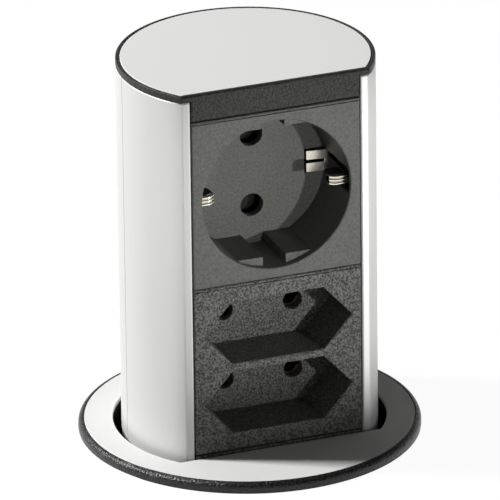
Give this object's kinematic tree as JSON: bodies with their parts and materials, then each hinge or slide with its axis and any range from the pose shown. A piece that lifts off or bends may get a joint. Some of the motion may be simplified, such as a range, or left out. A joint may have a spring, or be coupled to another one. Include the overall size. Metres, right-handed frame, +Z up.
{
  "type": "pop up desk socket",
  "caption": "D-shaped aluminium column with round and flat mains outlets that rises from a flanged collar clamped in a desk hole.",
  "frame": {"origin": "on the desk top, at the axis of the column's round back", "axes": "+Z up, +X to the right of the flat front, the flat front faces -Y"},
  "size_m": [0.0926, 0.0926, 0.2842],
  "materials": {
    "column_aluminium": "satin anodised",
    "trim_aluminium": "fine brushed",
    "tube_aluminium": "mill finish",
    "cap_plastic": "fine spark eroded",
    "flange_plastic": "satin moulded",
    "module_plastic": "fine grain",
    "grained_plastic": "coarse spark eroded grain",
    "housing_plastic": "plain moulded",
    "slide_plastic": "natural",
    "nickel": "nickel plated strip",
    "contact_brass": "stamped",
    "screw_steel": "zinc plated",
    "bright_steel": "bright drawn",
    "black_rubber": "matt"
  },
  "bodies": {
    "housing": {"collar": "flange_plastic", "trim_ring": "trim_aluminium", "gasket": "black_rubber", "guide_ring": "slide_plastic", "set_screws": "screw_steel", "housing_tube": "tube_aluminium", "base_plug": "flange_plastic", "base_screws": "screw_steel", "guide_rods": "bright_steel", "lift_springs": "bright_steel", "latch_body": "housing_plastic", "latch_spring": "bright_steel", "cable_gland": "flange_plastic", "gland_nut": "flange_plastic"},
    "column": {"column_profile": "column_aluminium", "top_cap": "cap_plastic", "cover_disc": "trim_aluminium", "cap_screws": "screw_steel", "schuko_front": "module_plastic", "schuko_base": "housing_plastic", "schuko_screws": "screw_steel", "earth_stirrup": "nickel", "schuko_contacts": "contact_brass", "schuko_terminals": "screw_steel", "shutter_spring": "bright_steel", "euro_front": "grained_plastic", "euro_base": "housing_plastic", "euro_screws": "screw_steel", "euro_contacts": "contact_brass", "euro_terminals": "screw_steel", "blank_panel": "grained_plastic", "bottom_cap": "cap_plastic", "bottom_screws": "screw_steel", "rod_bushes": "slide_plastic", "lead_grommet": "black_rubber", "striker": "bright_steel"},
    "shutter": {"shutter": "slide_plastic"},
    "latch": {"latch_plunger": "slide_plastic"},
    "clamp_ring": {"pressure_ring": "flange_plastic"},
    "clamp_nut": {"clamp_nut": "flange_plastic"}
  },
  "joints": [
    {"name": "column_lift", "type": "slide", "parent": "housing", "child": "column", "axis": [0, 0, 1], "range_m": [-0.098, 0], "stiffness_N_per_m": 200, "springref_m": 0.04, "deforming": ["lift_springs"]},
    {"name": "latch_push", "type": "slide", "parent": "housing", "child": "latch", "axis": [0, 0, 1], "range_m": [-0.005, 0], "stiffness_N_per_m": 300, "springref_m": 0.004, "deforming": ["latch_spring"]},
    {"name": "shutter_swing", "type": "hinge", "parent": "column", "child": "shutter", "pos_m": [0, 0.00223, 0.0707], "axis": [0, 1, 0], "range_deg": [0, 45], "stiffness_Nm_per_rad": 0.004, "springref_deg": -17.19},
    {"name": "clamp_travel", "type": "slide", "parent": "housing", "child": "clamp_ring", "axis": [0, 0, 1], "range_m": [-0.00151, 0.01501]},
    {"name": "nut_turn", "type": "hinge", "parent": "clamp_ring", "child": "clamp_nut", "pos_m": [0, 0, -0.033], "axis": [0, 0, 1], "range_deg": [-180, 1800]}
  ],
  "couplings": [
    {"joint": "clamp_travel", "follows": "nut_turn", "m_per_rad": 0.00047746}
  ]
}
